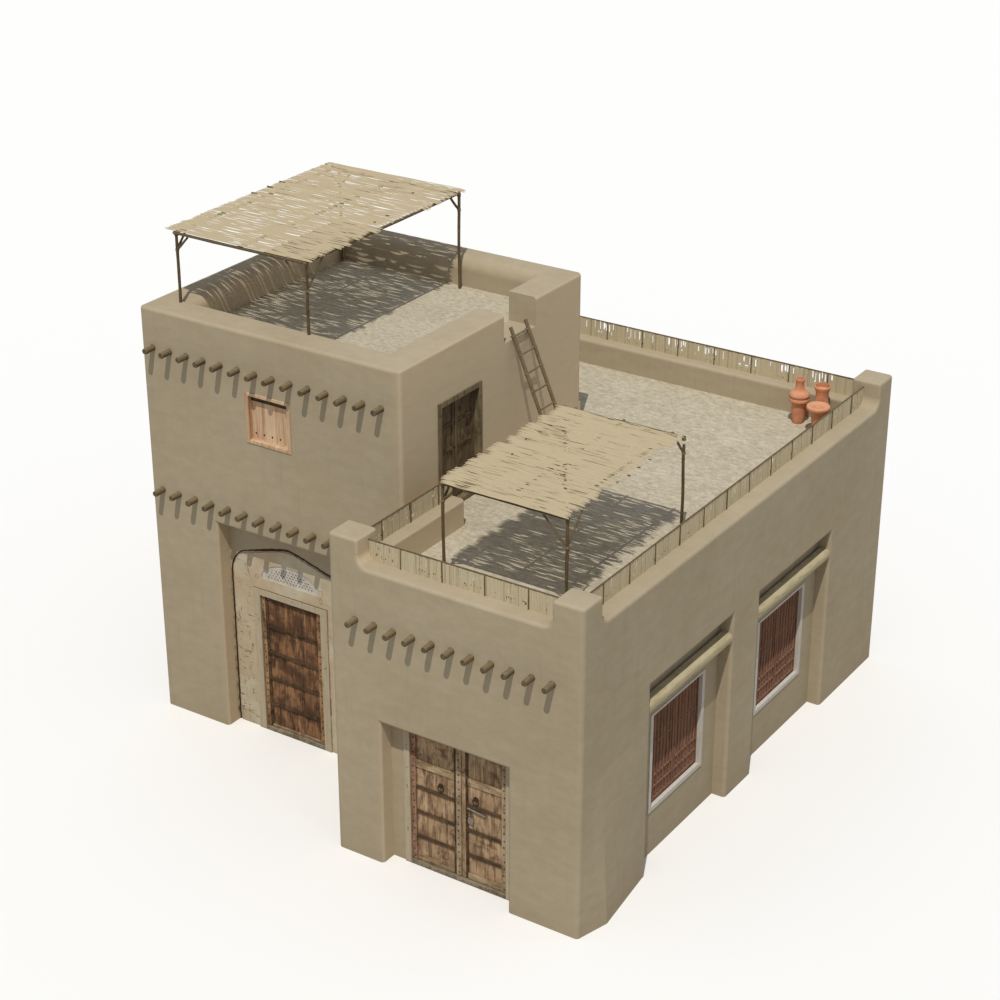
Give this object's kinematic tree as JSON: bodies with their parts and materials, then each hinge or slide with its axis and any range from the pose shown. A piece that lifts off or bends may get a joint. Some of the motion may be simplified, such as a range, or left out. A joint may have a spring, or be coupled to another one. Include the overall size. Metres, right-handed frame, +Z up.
{
  "type": "adobe house with roof terrace",
  "caption": "Mud-brick house with a two-storey tower, a walled roof terrace, reed canopies and fences, projecting beam ends and hinged plank doors.",
  "frame": {"origin": "on the ground at the centre of the rectangle that holds the house's plan", "axes": "+X to the right along the front, +Y from the front to the back, +Z up"},
  "size_m": [10.03, 10.725, 8.958],
  "materials": {
    "mudbrick": "hand-smoothed mud plaster, sandy tan",
    "mud_floor": "trodden pale earth with flecks of straw",
    "plaster": "off-white gypsum plaster",
    "dark_poles": "weathered dark round poles",
    "door_timber": "worn brown planks with old stain",
    "painted_timber": "chalky white paint over timber",
    "shutter_timber": "dark red-brown timber",
    "reed": "dry split reeds",
    "terracotta": "unglazed terracotta"
  },
  "bodies": {
    "house": {"tower_front_piers": "mudbrick", "tower_door_arch": "mudbrick", "tower_front_wall": "mudbrick", "tower_left_wall": "mudbrick", "tower_right_wall": "mudbrick", "tower_back_wall": "mudbrick", "block_front_piers": "mudbrick", "block_front_wall": "mudbrick", "right_wall_piers": "mudbrick", "window_walls": "mudbrick", "right_wall_head": "mudbrick", "block_back_wall": "mudbrick", "block_left_wall": "mudbrick", "rear_left_wall": "mudbrick", "front_parapet": "mudbrick", "right_parapet": "mudbrick", "back_parapet": "mudbrick", "left_parapets": "mudbrick", "window_lintels": "mudbrick", "ground_floor": "mud_floor", "upper_floor": "mud_floor", "tower_roof": "mud_floor", "block_roof": "mud_floor", "lattice_vent": "plaster", "tower_upper_beams": "dark_poles", "tower_lower_beams": "dark_poles", "block_beams": "dark_poles", "canopy_posts": "dark_poles", "canopy_cross_poles": "dark_poles", "canopy_side_poles": "dark_poles", "ladder": "dark_poles", "door_sills": "door_timber", "door_heads": "door_timber", "upper_door_frame": "door_timber", "upper_door_leaves": "door_timber", "window_frames": "painted_timber", "door_posts": "painted_timber", "window_shutters": "shutter_timber", "canopy_mats": "reed", "front_fence": "reed", "right_fence": "reed", "back_fence": "reed", "left_fences": "reed", "water_jars": "terracotta"},
    "main_door": {"main_door_leaf": "door_timber"},
    "yard_left_door": {"yard_door_left_leaf": "door_timber"},
    "yard_right_door": {"yard_door_right_leaf": "door_timber"}
  },
  "joints": [
    {"name": "main_door_hinge", "type": "hinge", "parent": "house", "child": "main_door", "pos_m": [-2.8515, -2.995, 0.085], "axis": [0, 0, 1], "range_deg": [0, 90]},
    {"name": "yard_left_hinge", "type": "hinge", "parent": "house", "child": "yard_left_door", "pos_m": [1.671, -4.915, 0.085], "axis": [0, 0, 1], "range_deg": [0, 90]},
    {"name": "yard_right_hinge", "type": "hinge", "parent": "house", "child": "yard_right_door", "pos_m": [3.403, -4.915, 0.085], "axis": [0, 0, -1], "range_deg": [0, 90]}
  ]
}
